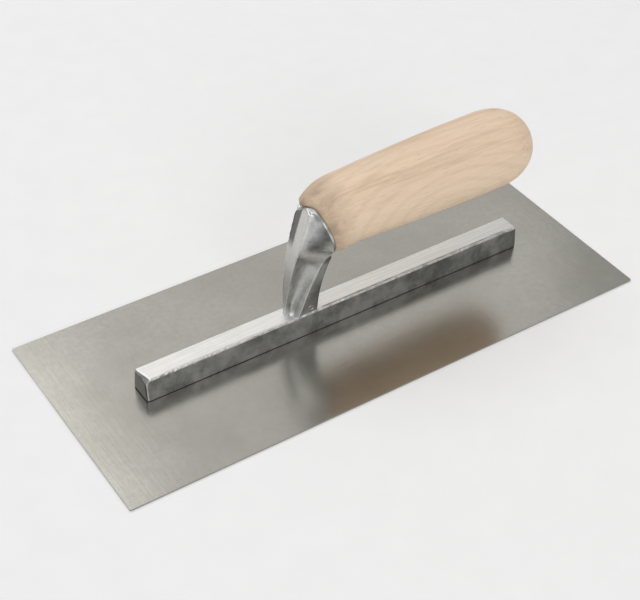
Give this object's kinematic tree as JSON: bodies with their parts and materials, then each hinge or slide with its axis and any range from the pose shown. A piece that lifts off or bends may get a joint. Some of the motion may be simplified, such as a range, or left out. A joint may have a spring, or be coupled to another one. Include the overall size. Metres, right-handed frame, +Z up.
{
  "type": "finishing trowel",
  "caption": "Plasterer's finishing trowel: thin rectangular steel blade, die-cast aluminium mounting with a stem at its middle, round beech handle above the rib.",
  "frame": {"origin": "centre of the blade's flat underside, on the surface that the trowel lies on", "axes": "+X along the blade towards the free end of the handle, +Y across the blade, +Z up from the blade to the handle"},
  "size_m": [0.28, 0.115, 0.0833],
  "materials": {
    "blade_steel": "satin, finely scratched along and across",
    "casting": "as die-cast, top of the rib ground, edges fettled rough",
    "handle_wood": "turned beech, sanded, no varnish",
    "fastener_steel": "bright zinc plate"
  },
  "bodies": {
    "root": {"blade": "blade_steel", "mounting": "casting", "blade_rivets": "fastener_steel", "handle": "handle_wood", "handle_screw": "fastener_steel", "screw_washer": "fastener_steel"}
  },
  "joints": []
}
